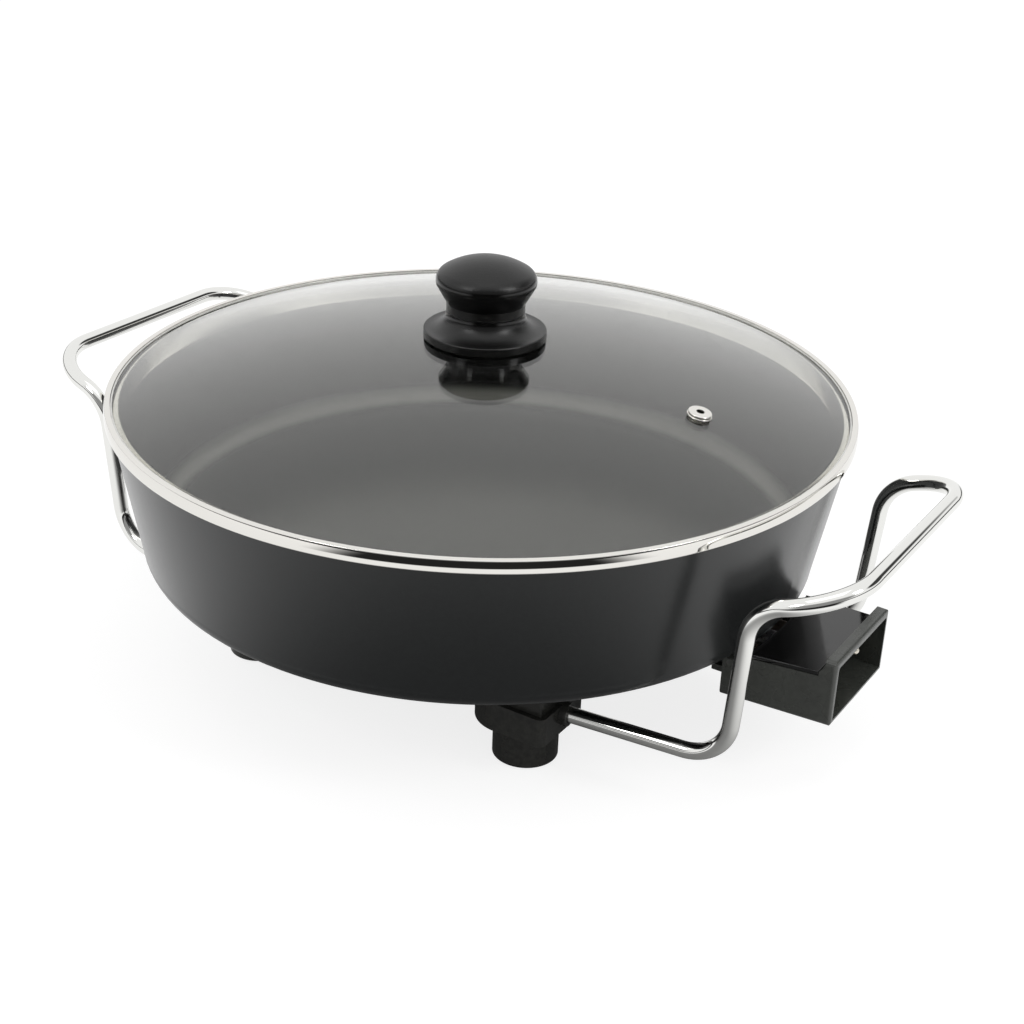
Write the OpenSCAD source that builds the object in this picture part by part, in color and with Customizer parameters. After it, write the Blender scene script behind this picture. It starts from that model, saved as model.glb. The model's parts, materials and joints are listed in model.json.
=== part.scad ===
// Electric skillet: a round non-stick pan on four feet, two bent rod handles,
// a side socket for a removable thermostat, and a domed glass lid that lifts off.
// Millimetres, +Z up, origin on the table under the pan's axis, +X towards the socket.

/* [Pan] */
// Outer radius of the pan at its rim
pan_rim_r = 197; // [185:1:215]
// How far the wall leans in from rim to bottom corner
pan_taper = 12.4; // [6:0.1:18]
// Height of the pan, underside to rim
pan_h = 80.7; // [70:0.1:110]
// Thickness of the wall
pan_wall = 3; // [2.5:0.1:4]
// Thickness of the floor
pan_floor = 4.5; // [4:0.1:7]
// Outer radius of the bottom corner
pan_corner_r = 9; // [7:0.5:12]
// Height of the upright edge at the rim
rim_edge_h = 1; // [0.6:0.1:1.2]

/* [Heater] */
// Radius of the heating ring, to the middle of its tube
heater_r = 84; // [70:1:86]
// Radius of the heater tube
heater_tube_r = 3.3; // [2.8:0.1:3.8]
// Distance of the tube's middle below the pan's underside
heater_drop = 6.9; // [6:0.1:8]
// Radius of the bends where the ring turns out to the socket
heater_bend_r = 12; // [9:1:18]
// Width of the cast ridge that holds the ring
ridge_w = 26; // [24:1:28]
// Number of strap clips under the ring
clip_count = 4; // [3:1:5]
// Width of a strap clip
clip_w = 11; // [8:1:16]
// Thickness of a strap clip
clip_t = 1.2; // [0.8:0.1:2]

/* [Feet] */
// Gap between the heater's ridge and the leg blocks
leg_clear = 6.9; // [2:0.1:10]
// Direction of the front and back feet from the middle, in degrees from X
foot_angle = 47.2; // [46:0.1:48]
// Radius of the round lower part
foot_stem_r = 17; // [15:0.5:18]
// Height of the round lower part
foot_stem_h = 22.5; // [18:0.5:30]
// Half width of the foot's head, and radius of its round inner side
foot_head_r = 20.5; // [20:0.5:24]
// Radius of the two outer edges of the foot's head
foot_edge_r = 4; // [2:0.5:6]
// Distance along X from the foot's axis in to the middle of the head's round side
head_inset_x = 5.5; // [4:0.1:8]
// Distance along Y from the foot's axis out to the middle of the head's round side
head_offset_y = 2.5; // [0:0.1:2.5]
// Height of the foot's head
foot_head_h = 16; // [14:0.5:20]
// Distance from the foot's axis to the flat outer face of its head
foot_head_reach = 23; // [20:0.5:26]
// Wall of the hollow stem
foot_wall = 3; // [2.5:0.1:4]
// Thickness of the rubber pad
pad_t = 4; // [3:0.1:6]
// How far the pad stands out below the plastic
pad_proud = 1; // [0.5:0.1:1.5]
// Wall of the sleeve around the rod on the foot's outer face
collar_wall = 2; // [1.5:0.1:3]
// Length of that sleeve
collar_len = 3; // [2:0.1:5]
// Height of the block between foot and pan
leg_h = 25.9; // [20:0.1:34]
// How far the leg block is set back from the edge of the foot's head
leg_setback = 3; // [2:0.1:5]
// Radius of the threaded boss that is cast under the pan at each foot
boss_r = 6; // [5:0.1:7]
// Length of that boss
boss_h = 12; // [9:0.5:15]

/* [Handles] */
// Radius of the handle rod
rod_r = 4.2; // [3.5:0.1:4.8]
// Height of the rod above the underside of the foot's head
rod_rise = 10.1; // [9:0.1:10.9]
// Sideways offset of the rod's end from the foot's axis
rod_toe = 3.1; // [1:0.1:5]
// How far the grip bar stands out from the pan's rim
handle_reach = 49.6; // [45:0.1:75]
// Height of the grip bar below the pan's rim
grip_drop = 9.6; // [2:0.1:25]
// Half width of the handle at the grip
handle_half_w = 80.6; // [76:0.1:92]
// How much wider the handle is at its shoulder
shoulder_splay = 1.2; // [0:0.1:4]
// How far the shoulder stands out from the pan's rim
shoulder_reach = 4.7; // [0:0.1:12]
// Height of the shoulder below the grip
shoulder_drop = 15.2; // [8:0.1:25]
// How much narrower the handle is at its lower bend
ankle_pinch = 1.1; // [0:0.1:4]
// How far the lower bend stays inside the shoulder
ankle_inset = 6.2; // [0:0.1:12]
// Bend radius at the lower bend
ankle_bend_r = 23.1; // [15:0.1:26]
// Bend radius at the shoulder
shoulder_bend_r = 23.9; // [15:0.1:24]
// Bend radius at the grip
grip_bend_r = 31.4; // [20:0.1:31.5]

/* [Socket] */
// How far the socket's mouth stands out from the pan's bottom corner
socket_reach = 44.4; // [38:0.1:60]
// Half width of the socket at its mouth
socket_mouth_half_w = 33.6; // [30:0.1:40]
// Angle of each side wall to the socket's axis
socket_side_angle = 4; // [0:0.1:6]
// Height from the socket's bottom to the pan's underside
socket_drop = 24.5; // [22:0.1:28]
// Height of the top plate's rear edge above the pan's underside
socket_rise = 3.3; // [1:0.1:8]
// Slope of the top plate in degrees
socket_slope = 2.8; // [0:0.1:5]
// Height of the lip at the mouth above the pan's underside
lip_rise = 12.1; // [9:0.1:16]
// Depth of the lip along the socket
lip_depth = 6; // [4:0.1:9]
// Radius of the hollow behind the lip
lip_hollow_r = 8; // [5:0.1:12]
// Width of the lip's hollow slope
lip_slope_w = 2.8; // [2:0.1:5]
// Wall of the socket
socket_wall = 3; // [2.5:0.1:4]
// Radius of the socket's long edges
socket_edge_r = 3; // [1.5:0.1:4.5]
// Radius of the outer edges round the mouth
mouth_edge_r = 2.4; // [1:0.1:2.8]
// Thickness of the top plate
plate_t = 2.4; // [1.8:0.1:3]
// How far the socket's screw ears reach in under the pan
socket_tail = 21; // [19:0.5:28]
// Length of the screw ears
ear_len = 7.4; // [7:0.1:9]
// Thickness of the screw ears
ear_t = 3.4; // [2.5:0.1:5]
// Distance of each contact pin from the middle
pin_offset = 15; // [12:0.5:17]
// Radius of a contact pin
pin_r = 2.5; // [2:0.1:2.8]
// How far the pins' tips stay inside the mouth
pin_inset = 6.7; // [4:0.1:10]
// Free length of a contact pin
pin_len = 25; // [20:0.5:28]
// Outer radius of the probe sleeve
sleeve_r = 4.6; // [4:0.1:5.2]
// Bore radius of the probe sleeve
sleeve_bore_r = 3.2; // [2.8:0.1:3.4]
// Length of the probe sleeve
sleeve_len = 62; // [50:1:70]
// Thickness of the contact carrier
carrier_t = 10; // [8:0.5:12]
// Width of the earth contact strip
earth_w = 9; // [6:0.5:14]
// Thickness of the earth contact strip
earth_t = 0.8; // [0.5:0.1:1.2]

/* [Lid] */
// How far the steel band stands out from the pan's rim
band_overhang = 3; // [1.5:0.1:5]
// Height of the steel band
band_h = 6.6; // [6:0.1:9]
// Width of the band seen from above
band_w = 3.6; // [3:0.1:5]
// Radius of the bead along the band's lower edge
band_bead_r = 1.25; // [0.8:0.05:1.5]
// Depth of the hollow between the band's beads
band_hollow = 0.7; // [0.3:0.05:1]
// Thickness of the band's sheet steel
band_sheet = 0.8; // [0.6:0.1:1.2]
// Length of the skirt that locates the lid in the pan
skirt_h = 8; // [5:0.1:14]
// How far the skirt leans in over its length
skirt_lean = 2.2; // [1:0.1:4]
// Gap between skirt and pan at the rim
skirt_gap = 0.6; // [0.4:0.1:1.5]
// Width of the rubber ring between band and glass
gasket_w = 1; // [0.8:0.1:1.5]
// Thickness of the glass
glass_t = 4; // [3:0.1:5]
// Rise of the dome, glass edge to crown
dome_rise = 30.5; // [20:0.1:45]
// Radius of the glass hole for the knob's screw
glass_hole_r = 4; // [3.4:0.1:5]
// Distance of the steam vent from the middle
vent_r = 128.6; // [90:0.1:150]
// Outer radius of the vent eyelet
eyelet_r = 6.55; // [5.5:0.05:7.5]
// Radius of the vent hole
vent_hole_r = 2.1; // [1.5:0.05:2.6]
// Height of each of the eyelet's two rolled rims
eyelet_rim_h = 1.1; // [0.8:0.1:1.4]
// How much smaller the upper rim is
eyelet_step = 0.4; // [0:0.1:1]
// Height of the groove between the two rims
eyelet_groove_h = 0.2; // [0.1:0.1:0.5]

/* [Knob] */
// Radius of the knob's cap where it is widest
knob_r = 26.7; // [25:0.1:31]
// Radius of the rounding between the cap's dome and its underside
knob_edge_r = 10; // [7:0.1:11]
// Rise of the cap's dome above its widest level
knob_dome_h = 13.5; // [12:0.1:18]
// Height from the neck up to the widest level
knob_under_h = 11.5; // [9:0.1:14]
// Radius of the neck
neck_r = 20.9; // [20:0.1:21.3]
// Length of the neck above the joint
neck_h = 5; // [3:0.1:8]
// Radius of the foot flange
flange_r = 32.8; // [32:0.1:34]
// Thickness of the flange at its edge
flange_h = 4.3; // [3:0.1:6]
// Height of the flared skirt above the flange
flare_h = 9.8; // [8:0.1:10.5]
// Thickness of the seal between flange and glass
seal_t = 1; // [0.8:0.1:1.5]
// Radius of the steel washer under the glass
washer_r = 11; // [9:0.5:14]
// Thickness of the steel washer
washer_t = 1.5; // [1:0.1:2]
// Radius of the knob screw's shank
knob_screw_r = 2.5; // [2:0.1:2.8]

/* [Fasteners and fits] */
// Radius of the foot screws' and socket screws' shanks
screw_r = 2; // [1.6:0.1:2.2]
// Radius of the small screws' shanks
small_screw_r = 1.5; // [1.2:0.1:1.8]
// Head radius of a screw, as a multiple of its shank
head_ratio = 1.9; // [1.7:0.05:2]
// Running clearance between a pin, rod or screw and its hole
fit = 0.15; // [0.1:0.05:0.2]
// Gap between the resting lid and the pan
rest_gap = 0.3; // [0.2:0.05:0.4]
// Visible seam between neighbouring covers
seam = 0.3; // [0.2:0.05:0.5]

/* [Hidden] */
$fn = 96;

// Signs of X and Y for each corner
front_right = [1, -1];
front_left = [-1, -1];
back_right = [1, 1];
back_left = [-1, 1];
corners = [front_right, front_left, back_right, back_left];
sides = [-1, 1];

// Levels
head_z = foot_stem_h;
leg_z = head_z + foot_head_h;
pan_z = leg_z + leg_h;
floor_z = pan_z + pan_floor;
rim_z = pan_z + pan_h;
rod_z = head_z + rod_rise;
heater_z = pan_z - heater_drop;
head_distance = heater_r + ridge_w / 2 + leg_clear + foot_head_r - leg_setback;
foot_x = head_distance * cos(foot_angle) + head_inset_x;
foot_y = head_distance * sin(foot_angle) - head_offset_y;
// Reach of a cut that passes right through
far = 100;

// Pan
corner_swell = 2;
pan_base_r = pan_rim_r - pan_taper;
corner_z = pan_z + pan_corner_r;
wall_slope = atan2(pan_taper, rim_z - corner_z);
inner_corner_r = pan_corner_r + corner_swell;
inner_wall_dr = pan_wall / cos(wall_slope);

// Heater
ridge_end_angle = 6;
clip_screw_edge = 5;
clip_screw_len = 6;
pilot_len = 8;
ridge_h = heater_drop + heater_tube_r;
ridge_z = pan_z - ridge_h;
leg_turn = asin((pin_offset + heater_bend_r) / (heater_r + heater_bend_r));
bend_x = (heater_r + heater_bend_r) * cos(leg_turn);
ridge_open = leg_turn + ridge_end_angle;
clip_screw_dr = ridge_w / 2 - clip_screw_edge;
clip_step = (360 - 2 * ridge_open) / clip_count;

// Socket
pan_gap = 1.5;
tray_drop = 2.4;
sleeve_proud = 2;
sleeve_end = 3;
pin_collar = 2;
pin_shank = 7;
tube_wall = 0.6;
ear_hole_edge = 5.6;
boss_drop = 10.5;
slot_margin = 3;
ceiling_t = 2;
mouth_x = pan_base_r + socket_reach;
ear_x = pan_base_r - socket_tail;
tray_x = ear_x + ear_len;
socket_z = pan_z - socket_drop;
cavity_z = socket_z + socket_wall;
pin_tip_x = mouth_x - pin_inset;
carrier_x = pin_tip_x - pin_len;
back_x = carrier_x - carrier_t;
pan_clear_r = pan_base_r + pan_gap;
under_pan_z = pan_z - tray_drop;
plate_front_x = mouth_x - lip_depth - lip_slope_w;
plate_z = pan_z + socket_rise;
lip_z = pan_z + lip_rise;
sleeve_front_x = carrier_x + sleeve_proud;
sleeve_back_x = sleeve_front_x - sleeve_len;
ear_hole_x = ear_x + ear_len / 2;
ear_hole_y = socket_mouth_half_w - ear_hole_edge;
socket_boss_r = ear_len / 2 - seam;
socket_screw_bite = 7;
socket_boss_z = pan_z - boss_drop;
slot_half_w = pin_offset + heater_tube_r + slot_margin;
// Height of the top plate's upper face at x, and of the seat under it
function plate_top(x) = plate_z + (x - pan_clear_r) * tan(socket_slope);
function plate_seat(x) = plate_top(x) - plate_t;
ceiling_z = plate_seat(pan_clear_r) - ceiling_t;

// Handles: corner points of one half, foot end first
rod_inset = 5;
set_screw_inset = 4;
rod_end_x = foot_x + rod_inset;
shoulder_x = pan_rim_r + shoulder_reach;
ankle_x = shoulder_x - ankle_inset;
grip_x = pan_rim_r + handle_reach;
grip_z = rim_z - grip_drop;
rod_end = [rod_end_x, foot_y + rod_toe, rod_z];
ankle = [ankle_x, handle_half_w - ankle_pinch, rod_z];
shoulder = [shoulder_x, handle_half_w + shoulder_splay, grip_z - shoulder_drop];
grip_end = [grip_x, handle_half_w, grip_z];
rod_seam = 0.01;
rod_core = 0.3;
half_path = [rod_end, ankle, shoulder, grip_end];
half_bends = [ankle_bend_r, shoulder_bend_r, grip_bend_r];
toe_dir = (ankle - rod_end) / norm(ankle - rod_end);
set_screw_at = rod_end + toe_dir * set_screw_inset;

// Feet
pad_r = foot_stem_r - foot_wall;
web_t = 3;
web_z = rod_z - rod_r - fit - web_t;
boss_bore_r = screw_r + fit;

// Lid
glass_drop = 1;
eyelet_wall = 0.9;
band_r = pan_rim_r + band_overhang;
band_z = rim_z + rest_gap;
band_top_z = band_z + band_h;
band_inner_r = band_r - band_w;
gasket_r = band_inner_r - gasket_w;
glass_r = gasket_r - fit;
glass_edge_z = band_top_z - glass_drop;
crown_z = glass_edge_z + dome_rise;
dome_r = (glass_r * glass_r + dome_rise * dome_rise) / (2 * dome_rise);
dome_z = crown_z - dome_r;
skirt_top_r = pan_rim_r - inner_wall_dr - skirt_gap;
band_top_bead_r = 0.9;
bead_lift = 0.2;
vent_tilt = asin(vent_r / dome_r);
eyelet_tube_r = vent_hole_r + eyelet_wall;
// Height of the dome's upper face at radius r
function glass_top(r) = dome_z + sqrt(dome_r * dome_r - r * r);
// Height of the dome's lower face at radius r
function glass_bottom(r) = dome_z + sqrt((dome_r - glass_t) * (dome_r - glass_t) - r * r);
under_glass_z = crown_z - glass_t;
seat_z = glass_bottom(glass_r) - fit;
washer_z = glass_bottom(washer_r) - fit / 2 - washer_t;

// Knob
flange_edge_r = 0.8;
insert_wall = 2.5;
insert_cover = 4;
skirt_wall = 6.6;
skirt_rise = 0.6;
skirt_core = 3;
seal_w = 8;
knob_z = glass_top(flange_r) + seal_t;
flange_top_z = knob_z + flange_h;
joint_z = flange_top_z + flare_h;
neck_top_z = joint_z + neck_h;
knob_edge_z = neck_top_z + knob_under_h;
knob_top_z = knob_edge_z + knob_dome_h;
// The cap's dome runs smoothly into the rounding, whose middle is at radius knob_edge_at
knob_edge_at = knob_r - knob_edge_r;
knob_dome_r = (knob_dome_h * knob_dome_h + knob_edge_at * knob_edge_at - knob_edge_r * knob_edge_r)
    / (2 * (knob_dome_h - knob_edge_r));
knob_dome_z = knob_top_z - knob_dome_r;
crown_angle = atan2(knob_edge_at, knob_dome_r - knob_dome_h);
knob_under_angle = 38;
insert_r = knob_screw_r + insert_wall;
insert_h = neck_h + knob_under_h - insert_cover;
knob_screw_top_z = joint_z + insert_h - insert_wall;

// Round rod from point a to point b
module rod(a, b, r) {
    d = b - a;
    translate(a)
        rotate([0, acos(d[2] / norm(d)), atan2(d[1], d[0])])
            cylinder(h = norm(d), r = r, $fn = 48);
}

// Angle turned at corner p between its neighbours a and b
function turn(a, p, b) = acos((p - a) * (b - p) / (norm(p - a) * norm(b - p)));
// Length that a bend of radius r takes from each side of its corner
function setback(a, p, b, r) = r * tan(turn(a, p, b) / 2);

// Bend of radius bend_r at corner p, for a rod of radius r
module rod_bend(a, p, b, bend_r, r) {
    u = (p - a) / norm(p - a);
    w = (b - p) / norm(b - p);
    inward = w - (u * w) * u;
    n = inward / norm(inward);
    m = cross(u, n);
    c = p - u * setback(a, p, b, bend_r) + n * bend_r;
    multmatrix([
        [-n[0], u[0], m[0], c[0]],
        [-n[1], u[1], m[1], c[1]],
        [-n[2], u[2], m[2], c[2]],
        [0, 0, 0, 1]
    ])
        rotate_extrude(angle = turn(a, p, b))
            translate([bend_r, 0]) circle(r = r, $fn = 48);
}

// Rod through the points p, rounded at the inner ones to the radii in bends.
// Straight lengths and bends meet at a hairline seam over a common core, which joins them.
module bent_rod(p, bends, r) {
    last = len(p) - 1;
    cuts = [for (i = [0:last])
        (i == 0 || i == last) ? 0 : setback(p[i - 1], p[i], p[i + 1], bends[i - 1])];
    for (i = [0:last - 1]) {
        u = (p[i + 1] - p[i]) / norm(p[i + 1] - p[i]);
        a = p[i] + u * cuts[i];
        b = p[i + 1] - u * cuts[i + 1];
        rod(a + u * (i > 0 ? rod_seam : 0), b - u * (i < last - 1 ? rod_seam : 0), r);
        if (i > 0) rod(a - u, a + u, r - rod_core);
        if (i < last - 1) rod(b - u, b + u, r - rod_core);
    }
    for (i = [1:last - 1])
        rod_bend(p[i - 1], p[i], p[i + 1], bends[i - 1], r);
}

// Screw pointing up: pan head below z = 0, shank above it, slot in the head
module screw(r, length) {
    head_h = r * 1.2;
    difference() {
        union() {
            translate([0, 0, -head_h]) cylinder(h = head_h, r = r * head_ratio);
            cylinder(h = length, r = r);
        }
        translate([0, 0, -head_h])
            cube([r * 3, r * 0.5, r * 0.8], center = true);
    }
}

module at_foot(corner) {
    translate([corner[0] * foot_x, corner[1] * foot_y, 0]) children();
}

// Pan: turned wall and floor, cast ridge for the heater, cast screw bosses
module pan_profile() {
    inner_r = pan_rim_r - inner_wall_dr;
    base_in = pan_base_r - inner_wall_dr;
    difference() {
        union() {
            polygon([[0, pan_z], [pan_base_r - pan_corner_r, pan_z], [pan_base_r, corner_z],
                     [pan_rim_r, rim_z - rim_edge_h], [pan_rim_r, rim_z], [0, rim_z]]);
            translate([pan_base_r - pan_corner_r, corner_z]) circle(r = pan_corner_r);
        }
        polygon([[0, floor_z], [base_in - inner_corner_r, floor_z],
                 [base_in, floor_z + inner_corner_r], [inner_r, rim_z], [inner_r, rim_z + 1],
                 [0, rim_z + 1]]);
        translate([base_in - inner_corner_r, floor_z + inner_corner_r]) circle(r = inner_corner_r);
    }
}

module ridge_profile() {
    difference() {
        translate([heater_r - ridge_w / 2, ridge_z]) square([ridge_w, ridge_h + 0.5]);
        translate([heater_r - heater_tube_r - fit, ridge_z - 1])
            square([2 * (heater_tube_r + fit), heater_tube_r + 1]);
        translate([heater_r, heater_z]) circle(r = heater_tube_r + fit);
    }
}

module clip_places() {
    for (i = [0:clip_count - 1])
        rotate(ridge_open + (i + 0.5) * clip_step) translate([heater_r, 0, 0]) children();
}

module pan_body() {
    color("#2b2c2d") difference() {
        union() {
            rotate_extrude($fn = 240) pan_profile();
            rotate_extrude(angle = 360 - 2 * ridge_open, start = ridge_open, $fn = 240) ridge_profile();
            for (c = corners)
                at_foot(c) translate([0, 0, pan_z - boss_h]) cylinder(h = boss_h + 1, r = boss_r);
            for (s = sides)
                translate([ear_hole_x, s * ear_hole_y, socket_boss_z])
                    cylinder(h = pan_z - socket_boss_z + 1, r = socket_boss_r);
        }
        for (c = corners)
            at_foot(c) translate([0, 0, pan_z - boss_h - 1]) cylinder(h = boss_h, r = boss_bore_r);
        for (s = sides)
            translate([ear_hole_x, s * ear_hole_y, socket_boss_z - 1])
                cylinder(h = pilot_len + 1, r = small_screw_r + fit);
        clip_places()
            for (s = sides)
                translate([s * clip_screw_dr, 0, ridge_z - 1])
                    cylinder(h = pilot_len, r = small_screw_r + fit);
    }
}

// Heater: C-shaped ring with two bends and two legs that run out to the socket
module heating_element() {
    seam_turn = atan2(rod_seam, heater_bend_r);
    ring_end = heater_r * [cos(leg_turn), sin(leg_turn), 0] + [0, 0, heater_z];
    ring_dir = [-sin(leg_turn), cos(leg_turn), 0];
    bend_end = [bend_x, pin_offset, heater_z];
    leg_end = [carrier_x, pin_offset, heater_z];
    along = [1, 0, 0];
    core_r = heater_tube_r - rod_core;
    color("#8d8a86") difference() {
        union() {
            rotate_extrude(angle = 360 - 2 * leg_turn, start = leg_turn, $fn = 180)
                translate([heater_r, heater_z]) circle(r = heater_tube_r, $fn = 48);
            for (s = [0, 1])
                mirror([0, s, 0]) {
                    translate([bend_x, pin_offset + heater_bend_r, heater_z])
                        rotate_extrude(angle = 90 - leg_turn - seam_turn, start = 180 + leg_turn + seam_turn)
                            translate([heater_bend_r, 0]) circle(r = heater_tube_r, $fn = 48);
                    rod(ring_end - ring_dir, ring_end + ring_dir, core_r);
                    rod(bend_end - along, bend_end + along, core_r);
                    rod(bend_end + along * rod_seam, leg_end, heater_tube_r);
                }
        }
        for (s = sides)
            rod([carrier_x - pilot_len, s * pin_offset, heater_z], [carrier_x + 1, s * pin_offset, heater_z],
                heater_tube_r - tube_wall);
    }
}

module element_clips() {
    color("silver") clip_places() difference() {
        translate([0, 0, ridge_z - clip_t / 2]) cube([ridge_w, clip_w, clip_t], center = true);
        for (s = sides)
            translate([s * clip_screw_dr, 0, ridge_z - clip_t - 1])
                cylinder(h = clip_t + 2, r = small_screw_r + fit);
    }
}

module clip_screws() {
    color("gray") clip_places()
        for (s = sides)
            translate([s * clip_screw_dr, 0, ridge_z - clip_t]) screw(small_screw_r, clip_screw_len);
}

// Sleeve that takes the thermostat's probe, open towards the socket's mouth
module probe_sleeve() {
    color("silver") difference() {
        rod([sleeve_back_x, 0, heater_z], [sleeve_front_x, 0, heater_z], sleeve_r);
        rod([sleeve_back_x + sleeve_end, 0, heater_z], [sleeve_front_x + 1, 0, heater_z], sleeve_bore_r);
    }
}

// Contact pin with a round tip and a thin shank inside the heater's end
module contact_pin(side) {
    color("silver") translate([0, side * pin_offset, heater_z]) rotate([0, 90, 0]) {
        translate([0, 0, carrier_x + pin_collar]) cylinder(h = pin_len - pin_r - pin_collar, r = pin_r);
        translate([0, 0, pin_tip_x - pin_r]) sphere(r = pin_r);
        translate([0, 0, carrier_x - pin_shank]) cylinder(h = pin_shank + pin_collar, r = pin_r / 2);
    }
}

module pin_insulator(side) {
    color("ivory") translate([0, side * pin_offset, heater_z]) rotate([0, 90, 0]) difference() {
        union() {
            translate([0, 0, carrier_x - pin_shank])
                cylinder(h = pin_shank, r = heater_tube_r - tube_wall - fit);
            translate([0, 0, carrier_x]) cylinder(h = pin_collar, r = heater_tube_r);
        }
        translate([0, 0, carrier_x - pin_shank - 1])
            cylinder(h = pin_shank + pin_collar + 2, r = pin_r / 2 + fit);
    }
}

// Heat-proof block that holds the heater's ends and the sleeve in the socket
module contact_carrier() {
    color("#3a332b") difference() {
        intersection() {
            socket_bar(socket_wall + fit, cavity_z, ceiling_z - fit, 0);
            translate([back_x, -far, 0]) cube([carrier_t, 2 * far, 2 * far]);
        }
        for (s = sides)
            rod([back_x - 1, s * pin_offset, heater_z], [carrier_x + 1, s * pin_offset, heater_z],
                heater_tube_r + fit);
        rod([back_x - 1, 0, heater_z], [carrier_x + 1, 0, heater_z], sleeve_r + fit);
    }
}

// Bent spring strip that earths the thermostat's shell
module earth_contact() {
    strip_len = pin_len - 6;
    color("#b98b3a") translate([0, earth_w / 2, 0]) rotate([90, 0, 0]) linear_extrude(earth_w) {
        translate([carrier_x, cavity_z]) square([earth_t, 7]);
        translate([carrier_x, cavity_z]) square([strip_len, earth_t]);
        translate([carrier_x + strip_len - 6, cavity_z + earth_t / 2])
            intersection() {
                translate([0, -2]) circle(r = 4);
                translate([-4, 0]) square([8, 3]);
            }
    }
}

// Rectangle from y = -width to 0 and z = z0 to z1, with its two corners at y = 0 rounded
module rounded_side(width, z0, z1, r) {
    if (r == 0) translate([-width, z0]) square([width, z1 - z0]);
    else {
        translate([-width, z0]) square([width - r, z1 - z0]);
        translate([-width, z0 + r]) square([width, z1 - z0 - 2 * r]);
        for (z = [z0 + r, z1 - r]) translate([-r, z]) circle(r = r, $fn = 48);
    }
}

// Bar along X whose sides draw in towards the mouth, with rounded long edges
module socket_bar(inset, z0, z1, edge_r) {
    intersection_for(s = [0, 1])
        mirror([0, s, 0])
            translate([mouth_x, socket_mouth_half_w - inset, 0])
                rotate([0, 0, -socket_side_angle]) translate([-2 * far, 0, 0])
                    rotate([90, 0, 90]) linear_extrude(3 * far)
                        rounded_side(3 * socket_mouth_half_w, z0, z1, edge_r);
}

// Outline in X and Z, drawn across the whole width
module across(half_w = far) {
    translate([0, half_w, 0]) rotate([90, 0, 0]) linear_extrude(2 * half_w) children();
}

// Plan that rounds the two upright edges of the mouth
module mouth_plan() {
    edge_x = mouth_x - mouth_edge_r;
    edge_y = socket_mouth_half_w + mouth_edge_r * (tan(socket_side_angle) - 1 / cos(socket_side_angle));
    side_x = edge_x + mouth_edge_r * sin(socket_side_angle);
    side_y = edge_y + mouth_edge_r * cos(socket_side_angle);
    polygon([
        [ear_x, -far], [side_x, -far], [side_x, -side_y], [mouth_x, -edge_y],
        [mouth_x, edge_y], [side_x, side_y], [side_x, far], [ear_x, far]
    ]);
    for (y = [-edge_y, edge_y]) translate([edge_x, y]) circle(r = mouth_edge_r, $fn = 48);
}

// Side view of the socket's outside, with the hollow behind its lip
module socket_side() {
    edge_x = mouth_x - mouth_edge_r;
    edge_levels = [socket_z + mouth_edge_r, lip_z - mouth_edge_r];
    foot_of_slope = [plate_front_x, plate_top(plate_front_x)];
    top_of_slope = [mouth_x - lip_depth, lip_z];
    chord = top_of_slope - foot_of_slope;
    middle = (top_of_slope + foot_of_slope) / 2;
    offset = sqrt(lip_hollow_r * lip_hollow_r - chord * chord / 4) / norm(chord);
    difference() {
        polygon([
            [tray_x, socket_z], [edge_x, socket_z], [mouth_x, edge_levels[0]], [mouth_x, edge_levels[1]],
            [edge_x, lip_z], top_of_slope, foot_of_slope, [plate_front_x, plate_seat(plate_front_x)],
            [tray_x, plate_seat(tray_x)]
        ]);
        intersection() {
            translate(middle + offset * [-chord[1], chord[0]]) circle(r = lip_hollow_r);
            translate(foot_of_slope) square([lip_depth, lip_rise]);
        }
    }
    for (z = edge_levels) translate([edge_x, z]) circle(r = mouth_edge_r, $fn = 48);
}

// Room for the pan above the part of the socket that lies under it
module pan_room() {
    translate([0, 0, under_pan_z]) cylinder(h = far, r = pan_clear_r, $fn = 240);
}

module socket_housing() {
    color("#1c1c1d") difference() {
        union() {
            difference() {
                intersection() {
                    socket_bar(0, socket_z, lip_z, socket_edge_r);
                    across() socket_side();
                    linear_extrude(far) mouth_plan();
                }
                pan_room();
            }
            for (s = [0, 1])
                mirror([0, s, 0])
                    translate([ear_x, slot_half_w, socket_boss_z - ear_t])
                        cube([ear_len + 1, socket_mouth_half_w - slot_half_w, ear_t]);
        }
        // Mouth, higher in front than behind
        intersection() {
            socket_bar(socket_wall, cavity_z, ceiling_z, 0);
            translate([back_x, -far, 0]) cube([far, 2 * far, 2 * far]);
        }
        intersection() {
            socket_bar(socket_wall, cavity_z, lip_z - socket_wall - 1, socket_edge_r / 2);
            translate([plate_front_x + pan_gap, -far, 0]) cube([far, 2 * far, 2 * far]);
        }
        // Tray under the pan, open at the top
        intersection() {
            socket_bar(socket_wall, cavity_z, under_pan_z + 1, 0);
            translate([tray_x + socket_wall, -far, 0])
                cube([back_x - tray_x - 2 * socket_wall, 2 * far, under_pan_z + 1]);
        }
        translate([tray_x - 1, -slot_half_w, socket_boss_z - ear_t])
            cube([socket_wall + 2, 2 * slot_half_w, far]);
        // Holes in the back wall
        for (y = [-pin_offset, 0, pin_offset])
            rod([back_x - socket_wall - 1, y, heater_z], [back_x + 1, y, heater_z], sleeve_r + fit);
        for (s = sides)
            translate([ear_hole_x, s * ear_hole_y, socket_boss_z - ear_t - 1])
                cylinder(h = ear_t + 2, r = small_screw_r + fit);
    }
}

module socket_top() {
    front_x = plate_front_x - seam;
    color("#101011") difference() {
        intersection() {
            socket_bar(seam, socket_z, lip_z, 0);
            across()
                polygon([[tray_x, plate_seat(tray_x)], [front_x, plate_seat(front_x)],
                         [front_x, plate_top(front_x)], [tray_x, plate_top(tray_x)]]);
        }
        pan_room();
    }
}

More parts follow.
